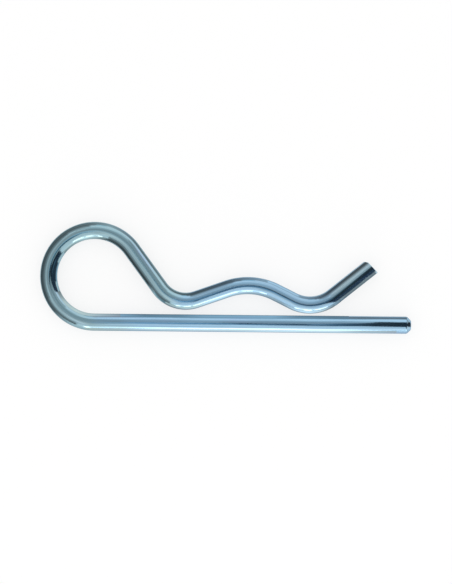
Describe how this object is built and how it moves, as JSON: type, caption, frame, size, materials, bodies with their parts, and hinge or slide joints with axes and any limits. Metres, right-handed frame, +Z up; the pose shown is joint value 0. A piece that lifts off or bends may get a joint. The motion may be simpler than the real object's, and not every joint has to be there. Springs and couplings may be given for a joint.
{
  "type": "hitch r clip",
  "caption": "Spring wire clip with a straight leg, a round eye and a wavy leg that snaps over a shaft once the straight leg is through its cross hole.",
  "frame": {"origin": "on the straight leg's axis, under the middle of the saddle, where the axis of the shaft that is pinned crosses it", "axes": "+X along the straight leg towards its tip, +Y from the straight leg towards the wavy leg, +Z up out of the plane that the wire is bent in"},
  "size_m": [0.1073, 0.0315, 0.005],
  "materials": {
    "zinc_plated_steel": "bright blue-white zinc plating on drawn spring wire, glossy, with fine marks along the wire"
  },
  "bodies": {
    "root": {"clip_wire": "zinc_plated_steel"}
  },
  "joints": []
}
